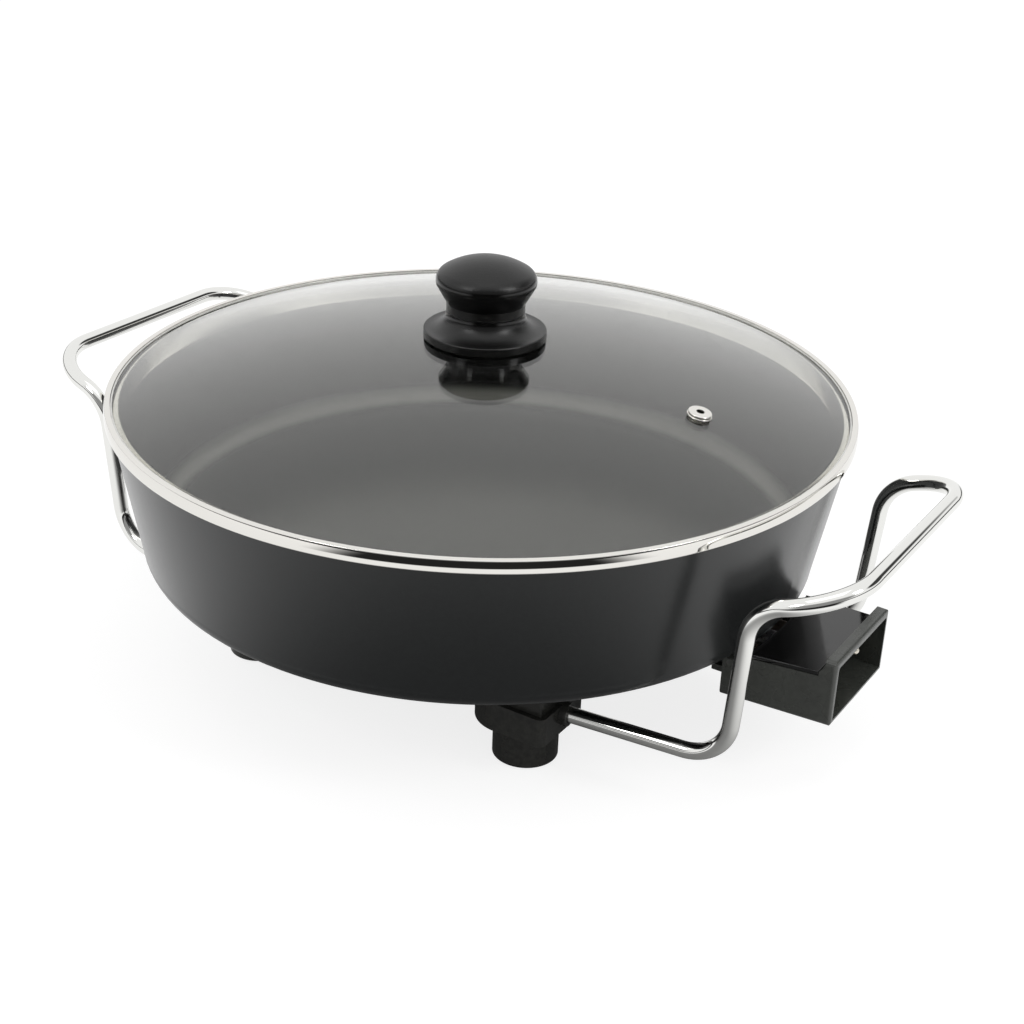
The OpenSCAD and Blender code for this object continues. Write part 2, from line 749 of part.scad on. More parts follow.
module socket_screws() {
    color("gray") for (s = sides)
        translate([ear_hole_x, s * ear_hole_y, socket_boss_z - ear_t])
            screw(small_screw_r, ear_t + socket_screw_bite);
}

// Plan of a foot's head around the foot's axis: round towards the middle of the pan, flat outside
module head_plan(inset) {
    half_w = foot_head_r - inset;
    face_x = head_inset_x + foot_head_reach - inset;
    edge_r = max(foot_edge_r - inset, 1);
    edge_x = face_x - edge_r;
    edge_y = half_w - edge_r;
    translate([-head_inset_x, head_offset_y]) {
        intersection() {
            circle(r = half_w);
            translate([-half_w, -half_w]) square([half_w, 2 * half_w]);
        }
        polygon([
            [0, -half_w], [edge_x, -half_w], [face_x, -edge_y],
            [face_x, edge_y], [edge_x, half_w], [0, half_w]
        ]);
        for (y = [-edge_y, edge_y]) translate([edge_x, y]) circle(r = edge_r, $fn = 48);
    }
}

// Moves a part that is drawn around a foot's axis to one corner
module at_corner(corner) {
    at_foot(corner)
        mirror([corner[0] < 0 ? 1 : 0, 0, 0]) mirror([0, corner[1] < 0 ? 1 : 0, 0]) children();
}

// A point of the handle's foot end, as seen from the foot's axis
function from_foot(p) = p - [foot_x, foot_y, 0];

module leg_block(corner) {
    color("#191919") at_corner(corner) difference() {
        translate([0, 0, leg_z]) linear_extrude(leg_h) head_plan(leg_setback);
        translate([0, 0, pan_z - boss_h - fit]) cylinder(h = boss_h + 1, r = boss_r + fit);
        translate([0, 0, leg_z - 1]) cylinder(h = leg_h, r = boss_bore_r);
    }
}

module foot(corner) {
    bore_start = from_foot(rod_end) - toe_dir * fit;
    collar_start = from_foot(rod_end) + toe_dir * (foot_head_reach / 2);
    collar_end = from_foot(rod_end) + toe_dir * (foot_head_reach - rod_inset + collar_len);
    color("#151515") at_corner(corner) difference() {
        union() {
            translate([0, 0, pad_proud]) cylinder(h = head_z - pad_proud + 1, r = foot_stem_r);
            translate([0, 0, head_z]) linear_extrude(foot_head_h) head_plan(0);
            rod(collar_start, collar_end, rod_r + fit + collar_wall);
        }
        translate([0, 0, -1]) cylinder(h = web_z + 1, r = pad_r);
        cylinder(h = leg_z + 1, r = boss_bore_r);
        rod(bore_start, collar_end + toe_dir, rod_r + fit);
        translate([0, 0, web_z - 1] + from_foot([set_screw_at[0], set_screw_at[1], 0]))
            cylinder(h = web_t + 2, r = small_screw_r + fit);
    }
}

module foot_pad(corner) {
    color("#2a2a2a") at_foot(corner) cylinder(h = pad_t, r = pad_r - fit);
}

module foot_screws() {
    color("gray") for (c = corners)
        at_foot(c) translate([0, 0, web_z]) screw(screw_r, pan_z - 3 - web_z);
}

// Handle: one rod from foot to foot
module handle() {
    path = concat(
        [for (p = half_path) [p[0], -p[1], p[2]]],
        [for (i = [3:-1:0]) half_path[i]]);
    bends = concat(half_bends, [for (i = [2:-1:0]) half_bends[i]]);
    color("#d8dadb") difference() {
        bent_rod(path, bends, rod_r);
        for (s = sides)
            translate([set_screw_at[0], s * set_screw_at[1], rod_z - rod_r - 1])
                cylinder(h = rod_r + 1, r = small_screw_r + fit);
    }
}

module handle_right() { handle(); }
module handle_left() { mirror([1, 0, 0]) handle(); }

module handle_screws() {
    color("gray") for (c = corners)
        at_corner(c) translate([0, 0, web_z] + from_foot([set_screw_at[0], set_screw_at[1], 0]))
            screw(small_screw_r, rod_z - web_z - 1);
}

// Lid: domed glass with a hole for the knob and one for the vent
module lid_glass() {
    color("#9fa3a4", 0.5) difference() {
        rotate_extrude($fn = 240) difference() {
            intersection() {
                translate([0, dome_z]) circle(r = dome_r, $fn = 1440);
                translate([0, glass_edge_z - 2 * glass_t]) square([glass_r, dome_rise + 3 * glass_t]);
            }
            translate([0, dome_z]) circle(r = dome_r - glass_t, $fn = 1440);
        }
        translate([0, 0, under_glass_z - 1]) cylinder(h = glass_t + 2, r = glass_hole_r);
        at_vent() translate([0, 0, -glass_t - 1]) cylinder(h = glass_t + 2, r = eyelet_tube_r + fit);
    }
}

// Steel band: hollow outer face between two beads, seat for the glass, skirt with a rolled hem
module lid_band() {
    hem_r = band_sheet * 1.1;
    hollow_r = band_r - band_hollow;
    shoulder_z = band_top_z - bead_lift;
    skirt_foot = [skirt_top_r - skirt_lean, band_z - skirt_h];
    sheet = [band_sheet, 0];
    color("#c9cbcc") rotate_extrude($fn = 240) {
        polygon([
            [band_inner_r, seat_z], [skirt_top_r - band_sheet, seat_z], [skirt_top_r - band_sheet, band_z],
            skirt_foot - sheet, skirt_foot, [skirt_top_r, band_z],
            [hollow_r, band_z], [hollow_r, shoulder_z], [band_inner_r, shoulder_z]
        ]);
        translate([band_r - band_top_bead_r, band_top_z - band_top_bead_r])
            circle(r = band_top_bead_r, $fn = 48);
        translate([band_r - band_bead_r, band_z + bead_lift + band_bead_r]) circle(r = band_bead_r, $fn = 48);
        translate(skirt_foot - sheet / 2) circle(r = hem_r, $fn = 48);
    }
}

module lid_gasket() {
    color("#222222") rotate_extrude($fn = 240)
        translate([gasket_r, seat_z]) square([gasket_w - fit, glass_edge_z + 0.3 - seat_z]);
}

module at_vent() {
    translate([0, 0, dome_z]) rotate([0, vent_tilt, 0]) translate([0, 0, dome_r]) children();
}

// Steel eyelet: tube through the glass, two rolled rims above it, flared end below
module vent_eyelet() {
    rim_r = eyelet_rim_h / 2;
    rim_step = eyelet_rim_h + eyelet_groove_h;
    groove_depth = rim_r;
    flare_w = 2.4;
    flare_t = 1;
    color("silver") at_vent() rotate_extrude() {
        translate([vent_hole_r, -glass_t - 2 * fit]) square([eyelet_wall, glass_t + 3 * fit]);
        for (i = [0, 1]) {
            translate([vent_hole_r, fit / 2 + i * rim_step])
                square([eyelet_r - i * eyelet_step - rim_r - vent_hole_r, eyelet_rim_h]);
            translate([eyelet_r - i * eyelet_step - rim_r, fit / 2 + i * rim_step + rim_r])
                circle(r = rim_r, $fn = 48);
        }
        translate([vent_hole_r, fit / 2 + rim_r])
            square([eyelet_r - eyelet_step - groove_depth - rim_r - vent_hole_r, rim_step]);
        translate([vent_hole_r, -glass_t - 2 * fit - flare_t]) square([flare_w, flare_t]);
    }
}

// Knob: domed cap with a rounded edge on a neck, over a flared skirt
module knob_cap() {
    under_edge = [knob_edge_at + knob_edge_r * cos(knob_under_angle),
                  knob_edge_z - knob_edge_r * sin(knob_under_angle)];
    crown_edge = [knob_dome_r * sin(crown_angle), knob_dome_z + knob_dome_r * cos(crown_angle)];
    color("#1a1a1a") difference() {
        rotate_extrude($fn = 180) {
            polygon([
                [0, joint_z], [neck_r, joint_z], [neck_r, neck_top_z],
                under_edge, crown_edge, [0, crown_edge[1]]
            ]);
            translate([knob_edge_at, knob_edge_z]) circle(r = knob_edge_r, $fn = 180);
            intersection() {
                translate([0, knob_dome_z]) circle(r = knob_dome_r, $fn = 360);
                translate([0, knob_edge_z]) square([crown_edge[0], knob_dome_h + 1]);
            }
        }
        translate([0, 0, joint_z - 1]) cylinder(h = insert_h + 1 + fit, r = insert_r + fit);
    }
}

module knob_insert() {
    color("#b5903c") difference() {
        translate([0, 0, joint_z]) cylinder(h = insert_h, r = insert_r);
        translate([0, 0, joint_z - 1]) cylinder(h = insert_h, r = knob_screw_r + fit);
    }
}

module knob_skirt() {
    flare_r = flare_h - seam;
    edge_in_r = flange_r - flange_edge_r;
    color("#1a1a1a") difference() {
        rotate_extrude($fn = 180) {
            difference() {
                polygon([
                    [0, knob_z], [flange_r, knob_z], [flange_r, flange_top_z - flange_edge_r],
                    [edge_in_r, flange_top_z], [neck_r + flare_r, flange_top_z],
                    [neck_r + flare_r, joint_z - seam], [0, joint_z - seam]
                ]);
                translate([neck_r + flare_r, joint_z - seam]) circle(r = flare_r, $fn = 180);
            }
            translate([edge_in_r, flange_top_z - flange_edge_r]) circle(r = flange_edge_r, $fn = 48);
        }
        difference() {
            translate([0, 0, knob_z - 1])
                cylinder(h = flange_h + skirt_rise + 1, r = neck_r + flare_r - skirt_wall);
            translate([0, 0, knob_z - 2]) cylinder(h = flange_h + flare_h, r = insert_r + skirt_core);
        }
        translate([0, 0, knob_z - 1]) cylinder(h = flare_h + flange_h + 2, r = knob_screw_r + fit);
    }
}

module knob_seal() {
    inner_r = flange_r - seal_w;
    bottom_z = glass_top(inner_r) + fit / 2;
    color("#333333") translate([0, 0, bottom_z]) difference() {
        cylinder(h = knob_z - bottom_z, r = flange_r - 1.5);
        translate([0, 0, -1]) cylinder(h = seal_t + 2, r = inner_r);
    }
}

module knob_washer() {
    color("silver") translate([0, 0, washer_z]) difference() {
        cylinder(h = washer_t, r = washer_r);
        translate([0, 0, -1]) cylinder(h = washer_t + 2, r = knob_screw_r + fit);
    }
}

module knob_screw() {
    color("silver") translate([0, 0, washer_z]) screw(knob_screw_r, knob_screw_top_z - washer_z);
}

// Repeated pieces by side and by corner
module contact_pin_left() { contact_pin(1); }
module contact_pin_right() { contact_pin(-1); }
module pin_insulator_left() { pin_insulator(1); }
module pin_insulator_right() { pin_insulator(-1); }

pan_body();
heating_element();
element_clips();
clip_screws();
probe_sleeve();
contact_pin_left();
contact_pin_right();
pin_insulator_left();
pin_insulator_right();
contact_carrier();
earth_contact();
socket_housing();
socket_top();
socket_screws();
leg_block(front_right);  // leg_block_front_right
leg_block(front_left);  // leg_block_front_left
leg_block(back_right);  // leg_block_back_right
leg_block(back_left);  // leg_block_back_left
foot(front_right);  // foot_front_right
foot(front_left);  // foot_front_left
foot(back_right);  // foot_back_right
foot(back_left);  // foot_back_left
foot_pad(front_right);  // foot_pad_front_right
foot_pad(front_left);  // foot_pad_front_left
foot_pad(back_right);  // foot_pad_back_right
foot_pad(back_left);  // foot_pad_back_left
foot_screws();
handle_right();
handle_left();
handle_screws();
lid_glass();
lid_band();
lid_gasket();
vent_eyelet();
knob_cap();
knob_insert();
knob_skirt();
knob_seal();
knob_washer();
knob_screw();
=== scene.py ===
import math
import json

import bpy
import bmesh
from mathutils import Vector, Matrix


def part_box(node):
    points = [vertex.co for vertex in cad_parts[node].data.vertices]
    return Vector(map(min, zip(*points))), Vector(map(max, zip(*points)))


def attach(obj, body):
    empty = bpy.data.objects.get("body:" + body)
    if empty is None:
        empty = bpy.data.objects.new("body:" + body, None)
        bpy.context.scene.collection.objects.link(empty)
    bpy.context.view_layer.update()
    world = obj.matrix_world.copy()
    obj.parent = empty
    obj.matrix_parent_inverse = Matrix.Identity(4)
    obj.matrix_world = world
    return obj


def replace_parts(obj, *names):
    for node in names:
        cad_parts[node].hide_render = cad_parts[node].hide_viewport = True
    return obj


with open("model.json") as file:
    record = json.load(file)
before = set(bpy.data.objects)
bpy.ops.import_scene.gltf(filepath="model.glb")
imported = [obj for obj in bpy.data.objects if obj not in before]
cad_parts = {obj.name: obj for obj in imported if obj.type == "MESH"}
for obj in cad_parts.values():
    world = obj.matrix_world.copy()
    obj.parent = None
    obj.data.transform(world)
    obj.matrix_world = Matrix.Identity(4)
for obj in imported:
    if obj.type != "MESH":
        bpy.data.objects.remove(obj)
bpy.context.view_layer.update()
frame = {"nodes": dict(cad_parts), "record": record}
cadNodes = frame["nodes"]
print("frame loaded:", len(cadNodes), "nodes")

mm = 0.001


def hexColor(code):
    # sRGB hex to the linear values that shaders take
    def linear(c):
        return c / 12.92 if c <= 0.04045 else ((c + 0.055) / 1.055) ** 2.4
    return tuple(linear(int(code[i:i + 2], 16) / 255) for i in (1, 3, 5)) + (1.0,)


def addNode(tree, kind, settings=None, inputs=None, links=None):
    # one node with its properties, its fixed inputs and what feeds it
    node = tree.nodes.new(kind)
    for key, value in (settings or {}).items():
        setattr(node, key, value)
    for key, value in (inputs or {}).items():
        node.inputs[key].default_value = value
    for key, source in (links or {}).items():
        tree.links.new(source, node.inputs[key])
    return node


smoothStep = {"interpolation_type": "SMOOTHSTEP"}
multiply = {"operation": "MULTIPLY"}
noiseSpan = {"From Min": 0.35, "From Max": 0.65}    # nearly all of a noise's values lie in here


def newMaterial(name, **fixed):
    # a Principled material whose fixed values sit on the shader's own sockets
    material = bpy.data.materials.new(name)
    material.use_nodes = True
    tree = material.node_tree
    tree.nodes.clear()
    shader = addNode(tree, "ShaderNodeBsdfPrincipled", inputs=fixed)
    addNode(tree, "ShaderNodeOutputMaterial", links={"Surface": shader.outputs["BSDF"]})
    return material, tree, shader


def vary(tree, target, cell, low, high, detail=2.0):
    # drives a socket by noise with cells of a real width, from low to high: two hex colours or two numbers
    at = addNode(tree, "ShaderNodeTexCoord").outputs["Object"]
    noise = addNode(tree, "ShaderNodeTexNoise", inputs={"Scale": 1 / cell, "Detail": detail},
                    links={"Vector": at})
    inColour = isinstance(low, str)
    ends = {"To Min": 0.0, "To Max": 1.0} if inColour else {"To Min": low, "To Max": high}
    even = addNode(tree, "ShaderNodeMapRange", inputs={**noiseSpan, **ends},
                   links={"Value": noise.outputs["Fac"]}).outputs["Result"]
    if inColour:
        even = addNode(tree, "ShaderNodeMix", {"data_type": "RGBA"},
                       {"A": hexColor(low), "B": hexColor(high)}, {"Factor": even}).outputs["Result"]
    tree.links.new(even, target)


def relief(tree, shader, cell, depth, strength=1.0, detail=2.0):
    # uneven surface: cell is the width of one bump and depth its height
    at = addNode(tree, "ShaderNodeTexCoord").outputs["Object"]
    noise = addNode(tree, "ShaderNodeTexNoise", inputs={"Scale": 1 / cell, "Detail": detail},
                    links={"Vector": at})
    lift = addNode(tree, "ShaderNodeBump", inputs={"Strength": strength, "Distance": depth},
                   links={"Height": noise.outputs["Fac"]})
    tree.links.new(lift.outputs["Normal"], shader.inputs["Normal"])
    return lift


def sprayedNonStick():
    # PTFE coat sprayed on cast aluminium: dark satin with a fine orange peel, brighter at a low angle
    material, tree, shader = newMaterial("sprayedNonStick", IOR=1.38,
                                         **{"Coat Weight": 0.35, "Coat Roughness": 0.2})
    vary(tree, shader.inputs["Base Color"], 1.1 * mm, "#0E1011", "#191C1C", detail=3)
    # the coat's own colour, before the painted highlight goes on
    coatBase = shader.inputs["Base Color"].links[0].from_socket
    peel = relief(tree, shader, 1.3 * mm, 0.02 * mm, detail=3)
    # faces that look upwards are the pan's inside, which is smoother than the wall outside
    facing = addNode(tree, "ShaderNodeTexCoord").outputs["Normal"]
    upward = addNode(tree, "ShaderNodeSeparateXYZ", links={"Vector": facing}).outputs["Z"]
    for target, outside, inside in ((peel.inputs["Strength"], 0.6, 0.05),
                                    (shader.inputs["Roughness"], 0.27, 0.25)):
        graded = addNode(tree, "ShaderNodeMapRange",
                         inputs={"From Min": 0.0, "From Max": 0.2, "To Min": outside, "To Max": inside},
                         links={"Value": upward})
        tree.links.new(graded.outputs["Result"], target)
    # painted highlight: the round corner between floor and wall is painted paler, standing in for the light
    # that it mirrors
    rising = addNode(tree, "ShaderNodeMapRange", inputs={"From Min": 0.35, "From Max": 0.7},
                     links={"Value": upward})
    ending = addNode(tree, "ShaderNodeMapRange", inputs={"From Min": 0.97, "From Max": 0.83},
                     links={"Value": upward})
    highlightBand = addNode(tree, "ShaderNodeMath", multiply,
                     links={0: rising.outputs["Result"], 1: ending.outputs["Result"]})
    paintedHighlight = addNode(tree, "ShaderNodeMix", {"data_type": "RGBA"}, {"B": hexColor("#7A7B77")},
                   {"Factor": highlightBand.outputs[0], "A": coatBase})
    tree.links.new(paintedHighlight.outputs["Result"], shader.inputs["Base Color"])
    return material


def temperedGlass():
    # Tempered soda-lime glass, bent over a mould: clear with a trace of grey, gently wavy
    material, tree, shader = newMaterial("temperedGlass", Roughness=0.0, IOR=1.5,
                                         **{"Base Color": hexColor("#F3F3EF"), "Transmission Weight": 1.0})
    relief(tree, shader, 90 * mm, 0.03 * mm, strength=0.15, detail=1)
    return material


def polishedStainless():
    # Stainless steel, spun and polished: nearly a mirror with faint turning lines round the axis
    material, tree, shader = newMaterial("polishedStainless", Metallic=1.0,
                                         **{"Base Color": hexColor("#E4E2DD")})
    at = addNode(tree, "ShaderNodeTexCoord").outputs["Object"]
    height = addNode(tree, "ShaderNodeSeparateXYZ", links={"Vector": at}).outputs["Z"]
    # turning lines are 0.1 mm apart on the real band and drawn at 0.3 mm to show
    lines = addNode(tree, "ShaderNodeTexNoise", {"noise_dimensions": "1D"},
                    {"Scale": 1 / (0.3 * mm), "Detail": 2.0}, {"W": height})
    lift = addNode(tree, "ShaderNodeBump", inputs={"Strength": 0.1, "Distance": 0.003 * mm},
                   links={"Height": lines.outputs["Fac"]})
    tree.links.new(lift.outputs["Normal"], shader.inputs["Normal"])
    cloud = addNode(tree, "ShaderNodeTexNoise", inputs={"Scale": 1 / (9 * mm), "Detail": 3.0},
                    links={"Vector": at})
    polish = addNode(tree, "ShaderNodeMapRange", inputs={**noiseSpan, "To Min": 0.03, "To Max": 0.06},
                     links={"Value": cloud.outputs["Fac"]})
    # the side that the glass covers is left satin, as the wheel doesn't reach it
    flat = addNode(tree, "ShaderNodeVectorMath", multiply, {1: (1, 1, 0)}, {0: at}).outputs[0]
    radius = addNode(tree, "ShaderNodeVectorMath", {"operation": "LENGTH"}, links={0: flat})
    satin = addNode(tree, "ShaderNodeMapRange",
                    inputs={"From Min": 195.6 * mm, "From Max": 196.4 * mm, "To Min": 0.1, "To Max": 0.0},
                    links={"Value": radius.outputs["Value"]})
    both = addNode(tree, "ShaderNodeMath", {"operation": "ADD"},
                   links={0: polish.outputs["Result"], 1: satin.outputs["Result"]})
    tree.links.new(both.outputs[0], shader.inputs["Roughness"])
    return material


def chromePlate():
    # Bright chrome on drawn steel rod: a mirror with the rod's faint waviness
    material, tree, shader = newMaterial("chromePlate", Metallic=1.0, **{"Base Color": hexColor("#E9E9E6")})
    vary(tree, shader.inputs["Roughness"], 7 * mm, 0.03, 0.07, detail=3)
    relief(tree, shader, 18 * mm, 0.04 * mm, strength=0.3)
    return material


def phenolicSatin():
    # Phenolic resin from a grained mould: black, satin, finely speckled
    material, tree, shader = newMaterial("phenolicSatin", IOR=1.45)
    # the mould's grain is 0.3 mm and drawn at 0.7 mm to show
    vary(tree, shader.inputs["Base Color"], 0.7 * mm, "#040404", "#0C0C0B")
    grain = relief(tree, shader, 0.7 * mm, 0.16 * mm, detail=3)
    # upright faces slide along the mould and come out smoother than those that look up
    facing = addNode(tree, "ShaderNodeTexCoord").outputs["Normal"]
    upward = addNode(tree, "ShaderNodeSeparateXYZ", links={"Vector": facing}).outputs["Z"]
    for target, upright, flat in ((grain.inputs["Strength"], 0.05, 1.0),
                                  (shader.inputs["Roughness"], 0.16, 0.38)):
        graded = addNode(tree, "ShaderNodeMapRange",
                         inputs={"From Min": 0.1, "From Max": 0.7, "To Min": upright, "To Max": flat},
                         links={"Value": upward})
        tree.links.new(graded.outputs["Result"], target)
    return material


def mouldedNylon():
    # Glass-filled nylon, moulded: semi-gloss black with faint flow marks
    material, tree, shader = newMaterial("mouldedNylon", IOR=1.53)
    vary(tree, shader.inputs["Base Color"], 3 * mm, "#272725", "#30302D", detail=3)
    vary(tree, shader.inputs["Roughness"], 8 * mm, 0.18, 0.27)
    relief(tree, shader, 6 * mm, 0.04 * mm, strength=0.35)
    return material


def mouldedPbt():
    # PBT, moulded in a lightly eroded tool: black with a soft shine
    material, tree, shader = newMaterial("mouldedPbt", IOR=1.6)
    vary(tree, shader.inputs["Base Color"], 3 * mm, "#383A36", "#3E403C", detail=3)
    vary(tree, shader.inputs["Roughness"], 10 * mm, 0.24, 0.33)
    relief(tree, shader, 0.6 * mm, 0.02 * mm, strength=0.4)
    return material


def glossyAbs():
    # ABS from a polished tool: deep gloss black, slightly wavy
    material, tree, shader = newMaterial("glossyAbs", IOR=1.54, **{"Base Color": hexColor("#020202")})
    vary(tree, shader.inputs["Roughness"], 5 * mm, 0.05, 0.11, detail=3)
    relief(tree, shader, 20 * mm, 0.05 * mm, strength=0.3, detail=1)
    return material


def blackSilicone():
    # Silicone rubber, moulded: matt black with a dusty bloom
    material, tree, shader = newMaterial("blackSilicone", Roughness=0.7, IOR=1.42)
    vary(tree, shader.inputs["Base Color"], 2 * mm, "#121212", "#202020", detail=3)
    relief(tree, shader, 0.5 * mm, 0.03 * mm, strength=0.6)
    return material


def clearSilicone():
    # Silicone sealant, translucent: reads nearly white in its groove, with a soft shine
    material, tree, shader = newMaterial("clearSilicone", Roughness=0.3, IOR=1.42)
    vary(tree, shader.inputs["Base Color"], 4 * mm, "#D6D6D2", "#E4E4E0", detail=3)
    relief(tree, shader, 5 * mm, 0.05 * mm, strength=0.4)
    return material


def heatedSheath():
    # Nickel-alloy sheath, annealed by use: brown-grey, cloudy
    material, tree, shader = newMaterial("heatedSheath", Metallic=1.0, Roughness=0.45)
    vary(tree, shader.inputs["Base Color"], 12 * mm, "#57504A", "#857A70", detail=3)
    relief(tree, shader, 0.8 * mm, 0.02 * mm, strength=0.5)
    return material


def zincSteel():
    # Steel, zinc plated: pale with a cloudy shine
    material, tree, shader = newMaterial("zincSteel", Metallic=1.0)
    vary(tree, shader.inputs["Base Color"], 3 * mm, "#A9ABAC", "#C9CBCB", detail=3)
    vary(tree, shader.inputs["Roughness"], 2 * mm, 0.27, 0.42)
    relief(tree, shader, 0.6 * mm, 0.01 * mm, strength=0.4)
    return material


def nickelPlate():
    # Brass, nickel plated: bright and a touch warm
    material, tree, shader = newMaterial("nickelPlate", Metallic=1.0, **{"Base Color": hexColor("#DAD4C8")})
    vary(tree, shader.inputs["Roughness"], 2 * mm, 0.11, 0.22)
    relief(tree, shader, 3 * mm, 0.01 * mm, strength=0.3)
    return material


def springBrass():
    # Brass, rolled: yellow metal, lightly tarnished
    material, tree, shader = newMaterial("springBrass", Metallic=1.0, Roughness=0.3)
    vary(tree, shader.inputs["Base Color"], 3 * mm, "#A8873F", "#CDAA5B", detail=3)
    relief(tree, shader, 0.8 * mm, 0.01 * mm, strength=0.4)
    return material


def steatite():
    # Steatite, pressed and fired: chalky off-white
    material, tree, shader = newMaterial("steatite", Roughness=0.6, IOR=1.55)
    vary(tree, shader.inputs["Base Color"], 1 * mm, "#DDD6C4", "#EBE6D8", detail=3)
    relief(tree, shader, 0.4 * mm, 0.02 * mm, strength=0.5)
    return material


def thermosetBlock():
    # Mineral-filled thermoset, pressed: brown-black and dull
    material, tree, shader = newMaterial("thermosetBlock", Roughness=0.55, IOR=1.5)
    vary(tree, shader.inputs["Base Color"], 1.5 * mm, "#100D0B", "#1B1714", detail=3)
    relief(tree, shader, 0.8 * mm, 0.03 * mm, strength=0.5)
    return material


finishes = {
    "pan_coating": sprayedNonStick(), "heater_sheath": heatedSheath(), "plain_steel": zincSteel(),
    "contact_nickel": nickelPlate(), "ceramic": steatite(), "carrier_plastic": thermosetBlock(),
    "earth_brass": springBrass(), "housing_plastic": mouldedPbt(), "plate_plastic": glossyAbs(),
    "foot_plastic": mouldedNylon(), "pad_rubber": blackSilicone(), "gasket_rubber": clearSilicone(),
    "handle_chrome": chromePlate(), "lid_glass": temperedGlass(), "band_steel": polishedStainless(),
    "knob_plastic": phenolicSatin(),
}
sameFinish = {
    "screw_steel": "plain_steel", "leg_plastic": "foot_plastic", "eyelet_steel": "band_steel",
    "insert_brass": "earth_brass", "seal_rubber": "pad_rubber",
}
for slot, like in sameFinish.items():
    finishes[slot] = finishes[like]
print("materials made:", len(finishes))

slotOf = {part["node"]: part["material_slot"] for part in frame["record"]["subparts"]}
for name, node in cadNodes.items():
    if not node.material_slots:
        node.data.materials.append(None)
    for place in node.material_slots:
        place.material = finishes[slotOf[name]]
print("finishes set on the packed nodes")


def addPiece(name, bm, body, slot):
    mesh = bpy.data.meshes.new(name)
    bm.to_mesh(mesh)
    bm.free()
    piece = bpy.data.objects.new(name, mesh)
    bpy.context.scene.collection.objects.link(piece)
    mesh.materials.append(finishes[slot])
    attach(piece, body)
    return piece


def shadeSmooth(bm, sharp):
    # smooth faces, with the edges that turn by more than sharp degrees left crisp
    bmesh.ops.recalc_face_normals(bm, faces=bm.faces)
    for face in bm.faces:
        face.smooth = True
    for edge in bm.edges:
        if len(edge.link_faces) == 2 and math.degrees(edge.calc_face_angle(0)) > sharp:
            edge.smooth = False


def roundedPath(corners, radii, steps=18):
    # straight lengths joined by true arcs, as points in millimetres
    points = [Vector(corners[0])]
    for before, corner, after, radius in zip(corners, corners[1:], corners[2:], radii):
        before, corner, after = Vector(before), Vector(corner), Vector(after)
        into = (corner - before).normalized()
        out = (after - corner).normalized()
        angle = into.angle(out)
        inward = (out - into * into.dot(out)).normalized()
        centre = corner - into * radius * math.tan(angle / 2) + inward * radius
        for i in range(steps + 1):
            a = angle * i / steps
            points.append(centre - inward * radius * math.cos(a) + into * radius * math.sin(a))
    points.append(Vector(corners[-1]))
    return points


def sweep(name, points, radius, body, slot, sides=40, sharp=50):
    # round rod along a path, with a frame carried from point to point
    bm = bmesh.new()
    rings = []
    last = len(points) - 1
    tangents = [(points[min(i + 1, last)] - points[max(i - 1, 0)]).normalized() for i in range(last + 1)]
    side = tangents[0].orthogonal().normalized()
    turns = [2 * math.pi * k / sides for k in range(sides)]
    for point, tangent in zip(points, tangents):
        side = (side - tangent * tangent.dot(side)).normalized()
        up = tangent.cross(side)
        around = [point + radius * (side * math.cos(a) + up * math.sin(a)) for a in turns]
        rings.append([bm.verts.new(place * mm) for place in around])
    for lower, upper in zip(rings, rings[1:]):
        for k in range(sides):
            n = (k + 1) % sides
            bm.faces.new((lower[k], lower[n], upper[n], upper[k]))
    bm.faces.new(list(reversed(rings[0])))
    bm.faces.new(rings[-1])
    shadeSmooth(bm, sharp)
    return addPiece(name, bm, body, slot)


handle = {
    "rodRadius": 4.2,
    "bends": (23.1, 23.9, 31.4),    # radii on the rod's middle line, from the foot to the grip
    # corners of one half of the right handle, from the foot up to the grip bar
    "half": ((93, 89.6, 32.6), (195.5, 79.5, 32.6), (201.7, 81.8, 120.3), (246.6, 80.6, 135.5)),
}


def makeHandle(name, side):
    half = [(side * x, y, z) for x, y, z in handle["half"]]
    corners = [(x, -y, z) for x, y, z in half] + half[::-1]
    path = roundedPath(corners, handle["bends"] + handle["bends"][::-1])
    return sweep(name, path, handle["rodRadius"], "cooker", "handle_chrome")


for name, side in (("handle_right", 1), ("handle_left", -1)):
    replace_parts(makeHandle(name + "_rod", side), name)
print("handles made")


def turn(name, profile, body, slot, sides=240, sharp=40):
    # solid of revolution from a closed profile of radii and heights in millimetres
    bm = bmesh.new()
    rings = []
    turns = [2 * math.pi * k / sides for k in range(sides)]
    for radius, height in profile:
        if radius == 0:
            rings.append([bm.verts.new((0, 0, height * mm))] * sides)
        else:
            rings.append([bm.verts.new((radius * mm * math.cos(a), radius * mm * math.sin(a), height * mm))
                          for a in turns])
    for lower, upper in zip(rings, rings[1:] + rings[:1]):
        for k in range(sides):
            n = (k + 1) % sides
            corners = list(dict.fromkeys((lower[k], lower[n], upper[n], upper[k])))
            if len(corners) > 2:
                bm.faces.new(corners)
    shadeSmooth(bm, sharp)
    return addPiece(name, bm, body, slot)


def arcPoints(centre, radius, start, end, steps=16):
    # points on an arc in the radius and height plane, angles in degrees
    angles = [math.radians(start + (end - start) * i / steps) for i in range(steps + 1)]
    return [(centre[0] + radius * math.cos(a), centre[1] + radius * math.sin(a)) for a in angles]


def nodeBox(name):
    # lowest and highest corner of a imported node, in millimetres
    low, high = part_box(name)
    return [v / mm for v in low], [v / mm for v in high]


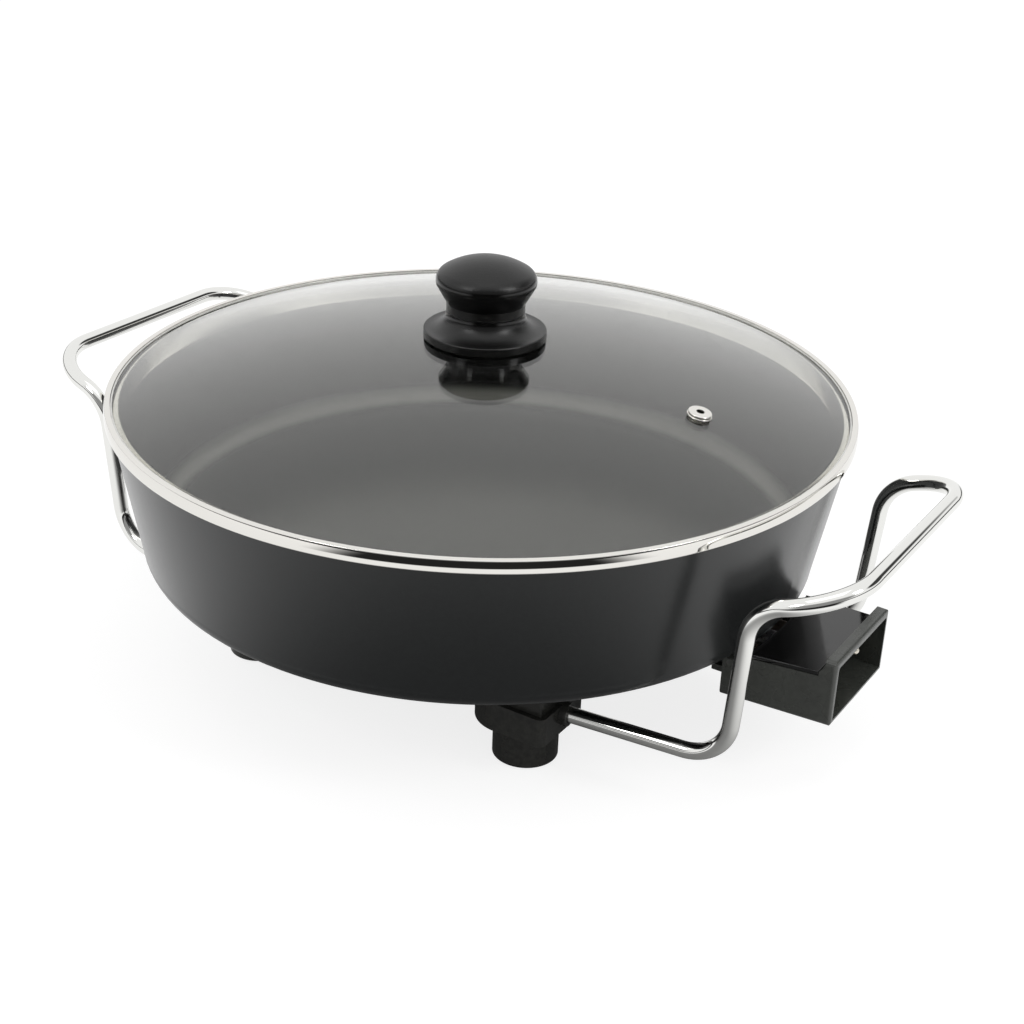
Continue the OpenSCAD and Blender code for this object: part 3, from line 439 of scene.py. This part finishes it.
band = {
    "width": 3.6, "height": 6.6,                                 # flat top and whole face
    "faceRadius": 17, "faceFrom": 3, "faceTo": 15.4,             # how the face curves back, in degrees
    "edgeRadius": 0.3, "hemEdge": 0.8,                           # small edges above and below the face
    "seatDrop": 5.6,                                             # from the top down to the glass's seat
    "skirtInset": 7.4, "skirtSheet": 0.8, "skirtLean": 2.2,      # the skirt that dips into the pan
    "hemRadius": 0.88, "hemRise": 1, "hemTurn": (150, 390),      # roll along the skirt's foot
    "beadRadius": 0.6, "beadRise": 1.6, "beadTurn": (80, 280),   # bead along the skirt's inner side
}


def makeBand():
    # rolled steel ring: flat top, face that curves back over an upright hem, glass's seat and inner skirt
    low, high = nodeBox("lid_band")
    outer, top = high[0], high[2]
    bottom = top - band["height"]
    hem, face, edge = band["hemEdge"], band["faceRadius"], band["edgeRadius"]
    fromAngle, toAngle = math.radians(band["faceFrom"]), math.radians(band["faceTo"])
    # the curved face ends where the top's small edge takes over
    faceRise = face * (math.sin(toAngle) - math.sin(fromAngle))
    faceLow = top - edge * (1 - math.sin(toAngle)) - faceRise
    faceMiddle = (outer - face * math.cos(fromAngle), faceLow - face * math.sin(fromAngle))
    edgeMiddle = (faceMiddle[0] + (face - edge) * math.cos(toAngle), top - edge)
    skirt = outer - band["skirtInset"]
    inside = skirt - band["skirtSheet"]
    foot = inside - band["skirtLean"]
    footHeight = low[2] + band["hemRadius"]
    seat = top - band["seatDrop"]
    profile = [(outer - band["width"], seat), (inside, seat)]
    profile += arcPoints((inside, bottom + band["beadRise"]), band["beadRadius"], *band["beadTurn"], steps=10)
    profile += [(foot, footHeight + band["hemRise"])]
    profile += arcPoints((foot + band["skirtSheet"] / 2, footHeight), band["hemRadius"], *band["hemTurn"],
                         steps=20)
    profile += [(skirt, bottom)]
    profile += arcPoints((outer - hem, bottom + hem), hem, -90, 0, steps=10)
    profile += arcPoints(faceMiddle, face, band["faceFrom"], band["faceTo"], steps=10)
    profile += arcPoints(edgeMiddle, edge, band["faceTo"], 90, steps=6)[1:]
    profile += [(outer - band["width"], top)]
    return turn("lid_band_rolled", profile, "lid", "band_steel", sides=360, sharp=25)


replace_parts(makeBand(), "lid_band")

knob = {
    "neckRadius": 20.9, "neckHeight": 4.7,
    "edgeRadius": 7, "edgeHeight": 16.1,    # the round edge, and its height over the cap's lower end
    "domeHeight": 12.6,                     # from the widest level to the top
    "underAngle": -14,                      # where the edge turns into the straight underside, in degrees
}


def makeKnobCap():
    # dome that runs smoothly into a round edge, with a straight underside down to the neck
    low, high = nodeBox("knob_cap")
    widest = low[2] + knob["edgeHeight"]
    edge, rise = knob["edgeRadius"], knob["domeHeight"]
    middle = high[0] - edge
    domeRadius = (rise ** 2 + middle ** 2 - edge ** 2) / (2 * (rise - edge))
    crown = math.degrees(math.asin(middle / (domeRadius - edge)))
    neck = knob["neckRadius"]
    profile = [(0, low[2]), (neck, low[2]), (neck, low[2] + knob["neckHeight"])]
    profile += arcPoints((middle, widest), edge, knob["underAngle"], 90 - crown, steps=28)
    profile += arcPoints((0, widest + rise - domeRadius), domeRadius, 90 - crown, 90, steps=20)[1:-1]
    profile += [(0, widest + rise)]
    return turn("knob_cap_moulded", profile, "lid", "knob_plastic", sides=180, sharp=12)


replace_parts(makeKnobCap(), "knob_cap")

cove = {
    "radius": 17,
    "panHeight": 80.7, "floor": 4.5,                             # the pan's height and its floor's thickness
    "wallRadius": 181.55, "wallFrom": 11, "wallSlope": 10.77,    # the wall's inside at a height over the floor
    "bedded": 1.2, "back": 3,                                    # its depth in the pan and its hidden corner
}


def makeCove():
    # round corner between the pan's floor and wall, bedded in both
    rim = nodeBox("pan_body")[1][2]
    floor = rim - cove["panHeight"] + cove["floor"]
    slope, radius = math.radians(cove["wallSlope"]), cove["radius"]
    wall, bedded, back = cove["wallRadius"], cove["bedded"], cove["back"]
    middle = wall + ((radius - cove["wallFrom"]) * math.sin(slope) - radius) / math.cos(slope)
    profile = arcPoints((middle, floor + radius), radius, -90, -cove["wallSlope"], steps=32)
    endRadius, endHeight = profile[-1]
    profile += [(endRadius + bedded, endHeight), (wall + bedded, floor + back),
                (wall - back, floor - bedded), (middle, floor - bedded)]
    return turn("pan_corner_cove", profile, "cooker", "pan_coating")


makeCove()
print("pan's corner, lid's band and knob turned")

legs = ("front_right", "front_left", "back_right", "back_left")
mouldEdges = {"foot_" + leg: 0.7 for leg in legs}    # widths in millimetres
mouldEdges.update({"leg_block_" + leg: 0.5 for leg in legs})
mouldEdges.update({"socket_housing": 0.5, "socket_top": 0.35})
softening = {
    "weld": 0.003, "flat": 0.4,        # points nearer than this meet, faces within this angle join
    "crisp": 30, "shortest": 1.2,      # edges sharper than this are rounded, if this many widths long
    "segments": 3, "sharp": 32,
}


def softenEdges(name, width):
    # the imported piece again, with the small round edges that its mould gives it
    bm = bmesh.new()
    bm.from_mesh(cadNodes[name].data)
    bmesh.ops.remove_doubles(bm, verts=bm.verts, dist=softening["weld"] * mm)
    bmesh.ops.dissolve_limit(bm, angle_limit=math.radians(softening["flat"]), verts=bm.verts, edges=bm.edges)
    crisp = [edge for edge in bm.edges
             if len(edge.link_faces) == 2 and math.degrees(edge.calc_face_angle(0)) > softening["crisp"]
             and edge.calc_length() > softening["shortest"] * width * mm]
    bmesh.ops.bevel(bm, geom=crisp, offset=width * mm, segments=softening["segments"], profile=0.5,
                    affect="EDGES", clamp_overlap=True)
    shadeSmooth(bm, softening["sharp"])
    piece = addPiece(name + "_moulded", bm, "cooker", slotOf[name])
    normals = piece.modifiers.new("evenShading", "WEIGHTED_NORMAL")
    normals.keep_sharp = True
    return piece


for name, width in mouldEdges.items():
    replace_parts(softenEdges(name, width), name)
print("moulded pieces softened:", len(mouldEdges))

stage = {
    "paper": "#959595", "paperGlow": 0.8, "paperReach": 12, "paperDrop": 0.0004,
    # what mirrors see of the paper: dim under the front of the pan as painted shade for the pan's shadow,
    # white round it, dark far away in front
    "paperMirror": {"dimAt": (0.08, -0.13, 0), "from": 0.10, "to": 0.28,
                    "near": 0.74, "far": 0.8, "nearAt": 0.5, "farAt": 2.5,
                    "frontDark": 0.52, "frontFade": 0.1, "frontAzimuth": -57, "frontHalf": 36,
                    "allDark": 2.2, "allFade": 0.4, "darkLevel": 0.02},
    "worldLight": 0.8,
    # dark line that mirrors see along the horizon, up to this height of a unit direction
    "horizonDark": 0.05, "horizonTop": 0.07, "horizonBlur": 0.02,
    # the backdrop behind the object stays white down to the horizon
    "backdrop": {"azimuth": 122, "half": 28},
    "azimuthBlur": 8,
    # parts of the studio that aren't white in mirrors, by azimuth and elevation in degrees
    "dimPatches": ({"azimuth": -57, "elevation": 20, "half": (54, 20), "white": 0.3},
                   {"azimuth": 48, "elevation": 26, "half": (27, 12), "white": 0.05}),
    "patchBlur": 0.2,
    "lampsAimAt": (0, 0, 0.12),
    "lamps": {
        "softboxLeft": {"azimuth": -103, "elevation": 37, "distance": 1.9, "size": (0.4, 0.6), "power": 4.2},
        "softboxRight": {"azimuth": 2, "elevation": 35, "distance": 1.9, "size": (0.4, 0.6), "power": 6.2},
        "softboxTop": {"azimuth": -57, "elevation": 80, "distance": 1.6, "size": (1.2, 0.9), "power": 1.6},
    },
}
plainWhite = (1, 1, 1, 1)


def mirrorRay(tree):
    # 1 for what is seen in a mirror or through the glass
    ray = addNode(tree, "ShaderNodeLightPath")
    return addNode(tree, "ShaderNodeMath", {"operation": "MAXIMUM"},
                   links={0: ray.outputs["Is Glossy Ray"], 1: ray.outputs["Is Transmission Ray"]}).outputs[0]


def nearAzimuth(tree, parts, azimuth, half):
    # 1 for directions within half of an azimuth, fading to 0 across that border
    heading = math.radians(azimuth)
    flat = addNode(tree, "ShaderNodeCombineXYZ", links={"X": parts.outputs["X"], "Y": parts.outputs["Y"]})
    flat = addNode(tree, "ShaderNodeVectorMath", {"operation": "NORMALIZE"}, links={0: flat.outputs[0]})
    along = addNode(tree, "ShaderNodeVectorMath", {"operation": "DOT_PRODUCT"},
                    {1: (math.cos(heading), math.sin(heading), 0)}, {0: flat.outputs[0]})
    blur = stage["azimuthBlur"]
    outside, inside = math.cos(math.radians(half + blur)), math.cos(math.radians(half - blur))
    return addNode(tree, "ShaderNodeMapRange", smoothStep, {"From Min": outside, "From Max": inside},
                   {"Value": along.outputs["Value"]}).outputs["Result"]


def makeFloor():
    # matt paper: white where it is seen, with a soft shadow left in it
    bm = bmesh.new()
    reach, drop = stage["paperReach"], stage["paperDrop"]
    corners = ((-1, -1), (1, -1), (1, 1), (-1, 1))
    bm.faces.new([bm.verts.new((x * reach, y * reach, -drop)) for x, y in corners])
    mesh = bpy.data.meshes.new("floor")
    bm.to_mesh(mesh)
    bm.free()
    floor = bpy.data.objects.new("floor", mesh)
    bpy.context.scene.collection.objects.link(floor)
    material = bpy.data.materials.new("paperFloor")
    material.use_nodes = True
    tree = material.node_tree
    tree.nodes.clear()
    at = addNode(tree, "ShaderNodeTexCoord").outputs["Object"]
    parts = addNode(tree, "ShaderNodeSeparateXYZ", links={"Vector": at})
    mirror, backdrop = stage["paperMirror"], stage["backdrop"]
    # white in mirrors grows away from the dim spot, which is painted shade for the pan's shadow, and again
    # further out
    fromDim = addNode(tree, "ShaderNodeVectorMath", {"operation": "DISTANCE"}, {1: mirror["dimAt"]}, {0: at})
    clear = addNode(tree, "ShaderNodeMapRange", smoothStep,
                    {"From Min": mirror["from"], "From Max": mirror["to"]},
                    {"Value": fromDim.outputs["Value"]})
    out = addNode(tree, "ShaderNodeVectorMath", {"operation": "LENGTH"}, links={0: at}).outputs["Value"]
    level = addNode(tree, "ShaderNodeMapRange", smoothStep,
                    {"From Min": mirror["nearAt"], "From Max": mirror["farAt"],
                     "To Min": mirror["near"], "To Max": mirror["far"]}, {"Value": out})
    white = addNode(tree, "ShaderNodeMath", multiply,
                    links={0: clear.outputs["Result"], 1: level.outputs["Result"]})
    # dark part of the studio's floor, far out in front
    farOut = addNode(tree, "ShaderNodeMapRange", smoothStep,
                     {"From Min": mirror["frontDark"], "From Max": mirror["frontDark"] + mirror["frontFade"]},
                     {"Value": out})
    inFront = nearAzimuth(tree, parts, mirror["frontAzimuth"], mirror["frontHalf"])
    front = addNode(tree, "ShaderNodeMath", multiply, links={0: inFront, 1: farOut.outputs["Result"]})
    # and all round at the horizon, but for the backdrop
    horizon = addNode(tree, "ShaderNodeMapRange", smoothStep,
                      {"From Min": mirror["allDark"], "From Max": mirror["allDark"] + mirror["allFade"]},
                      {"Value": out})
    behind = nearAzimuth(tree, parts, backdrop["azimuth"], backdrop["half"])
    beside = addNode(tree, "ShaderNodeMath", {"operation": "SUBTRACT"}, {0: 1.0}, {1: behind})
    around = addNode(tree, "ShaderNodeMath", multiply,
                     links={0: horizon.outputs["Result"], 1: beside.outputs[0]})
    dark = addNode(tree, "ShaderNodeMath", {"operation": "MAXIMUM"},
                   links={0: front.outputs[0], 1: around.outputs[0]})
    mirrored = mirrorRay(tree)
    inMirrors = addNode(tree, "ShaderNodeMath", multiply, links={0: white.outputs[0], 1: mirrored})
    # and the paper's own glow where the camera sees it
    direct = addNode(tree, "ShaderNodeLightPath").outputs["Is Camera Ray"]
    glowing = addNode(tree, "ShaderNodeMath", {"operation": "MULTIPLY_ADD"}, {1: stage["paperGlow"]},
                      {0: direct, 2: inMirrors.outputs[0]})
    paper = addNode(tree, "ShaderNodeBsdfDiffuse", inputs={"Color": hexColor(stage["paper"])})
    glow = addNode(tree, "ShaderNodeEmission", inputs={"Color": plainWhite},
                   links={"Strength": glowing.outputs[0]})
    both = addNode(tree, "ShaderNodeAddShader", links={0: paper.outputs[0], 1: glow.outputs[0]})
    unlit = addNode(tree, "ShaderNodeEmission", inputs={"Color": plainWhite, "Strength": mirror["darkLevel"]})
    darkInMirrors = addNode(tree, "ShaderNodeMath", multiply, links={0: dark.outputs[0], 1: mirrored})
    seen = addNode(tree, "ShaderNodeMixShader",
                   links={0: darkInMirrors.outputs[0], 1: both.outputs[0], 2: unlit.outputs[0]})
    addNode(tree, "ShaderNodeOutputMaterial", links={"Surface": seen.outputs[0]})
    floor.data.materials.append(material)


def makeWorld():
    # even soft light; mirrors see a white studio with a dark line along the horizon and a few dim patches
    world = bpy.data.worlds.new("studio")
    bpy.context.scene.world = world
    world.use_nodes = True
    tree = world.node_tree
    tree.nodes.clear()
    toward = addNode(tree, "ShaderNodeTexCoord").outputs["Generated"]
    parts = addNode(tree, "ShaderNodeSeparateXYZ", links={"Vector": toward})
    elevation = addNode(tree, "ShaderNodeMath", {"operation": "ARCSINE"}, links={0: parts.outputs["Z"]})
    azimuth = addNode(tree, "ShaderNodeMath", {"operation": "ARCTAN2"},
                      links={0: parts.outputs["Y"], 1: parts.outputs["X"]})
    facing = addNode(tree, "ShaderNodeCombineXYZ", links={"X": azimuth.outputs[0], "Y": elevation.outputs[0]})
    line, blur = stage["horizonTop"], stage["horizonBlur"]
    overLine = addNode(tree, "ShaderNodeMapRange", smoothStep,
                       {"From Min": line - blur, "From Max": line + blur, "To Min": stage["horizonDark"]},
                       {"Value": parts.outputs["Z"]})
    behind = nearAzimuth(tree, parts, stage["backdrop"]["azimuth"], stage["backdrop"]["half"])
    white = addNode(tree, "ShaderNodeMath", {"operation": "MAXIMUM"},
                    links={0: overLine.outputs["Result"], 1: behind})
    blur = stage["patchBlur"]
    for patch in stage["dimPatches"]:
        centre = (math.radians(patch["azimuth"]), math.radians(patch["elevation"]), 0)
        stretch = (1 / math.radians(patch["half"][0]), 1 / math.radians(patch["half"][1]), 0)
        away = addNode(tree, "ShaderNodeVectorMath", {"operation": "SUBTRACT"}, {1: centre},
                       {0: facing.outputs[0]})
        away = addNode(tree, "ShaderNodeVectorMath", multiply, {1: stretch}, {0: away.outputs[0]})
        away = addNode(tree, "ShaderNodeVectorMath", {"operation": "LENGTH"}, links={0: away.outputs[0]})
        patchWhite = addNode(tree, "ShaderNodeMapRange", smoothStep,
                             {"From Min": 1 - blur, "From Max": 1 + blur, "To Min": patch["white"]},
                             {"Value": away.outputs["Value"]})
        white = addNode(tree, "ShaderNodeMath", multiply,
                        links={0: white.outputs[0], 1: patchWhite.outputs["Result"]})
    mirrored = addNode(tree, "ShaderNodeBackground", inputs={"Color": plainWhite},
                       links={"Strength": white.outputs[0]})
    soft = addNode(tree, "ShaderNodeBackground",
                   inputs={"Color": plainWhite, "Strength": stage["worldLight"]})
    plain = addNode(tree, "ShaderNodeBackground", inputs={"Color": plainWhite, "Strength": 1.0})
    lit = addNode(tree, "ShaderNodeMixShader",
                  links={0: mirrorRay(tree), 1: soft.outputs[0], 2: mirrored.outputs[0]})
    direct = addNode(tree, "ShaderNodeLightPath").outputs["Is Camera Ray"]
    seen = addNode(tree, "ShaderNodeMixShader", links={0: direct, 1: lit.outputs[0], 2: plain.outputs[0]})
    addNode(tree, "ShaderNodeOutputWorld", links={"Surface": seen.outputs[0]})


def addLamp(name, spec):
    data = bpy.data.lights.new(name, "AREA")
    data.shape = "RECTANGLE"
    data.size, data.size_y = spec["size"]
    data.energy = spec["power"]
    lamp = bpy.data.objects.new(name, data)
    # kept out of what is seen through the glass, where it would leave spots on the steel
    lamp.visible_transmission = False
    bpy.context.scene.collection.objects.link(lamp)
    azimuth, elevation = math.radians(spec["azimuth"]), math.radians(spec["elevation"])
    level = math.cos(elevation)
    out = Vector((level * math.cos(azimuth), level * math.sin(azimuth), math.sin(elevation)))
    lamp.location = Vector(stage["lampsAimAt"]) + out * spec["distance"]
    lamp.rotation_euler = (-out).to_track_quat("-Z", "Y").to_euler()


view = {
    "lens": 60.07, "sensor": 36, "place": (0.46386, -0.71673, 0.50165),
    # the camera's own axes
    "right": (0.84109, 0.53978, 0.03460), "up": (-0.26666, 0.35816, 0.89477),
    "back": (0.47059, -0.76181, 0.44519),
}


def makeCamera():
    data = bpy.data.cameras.new("camera")
    data.lens = view["lens"]
    data.sensor_width = view["sensor"]
    camera = bpy.data.objects.new("camera", data)
    bpy.context.scene.collection.objects.link(camera)
    aim = Matrix((view["right"], view["up"], view["back"])).transposed().to_4x4()
    camera.matrix_world = Matrix.Translation(view["place"]) @ aim
    bpy.context.scene.camera = camera


makeFloor()
makeWorld()
for name, spec in stage["lamps"].items():
    addLamp(name, spec)
makeCamera()
bpy.context.scene.view_settings.view_transform = "Standard"
print("stage, light and camera set")
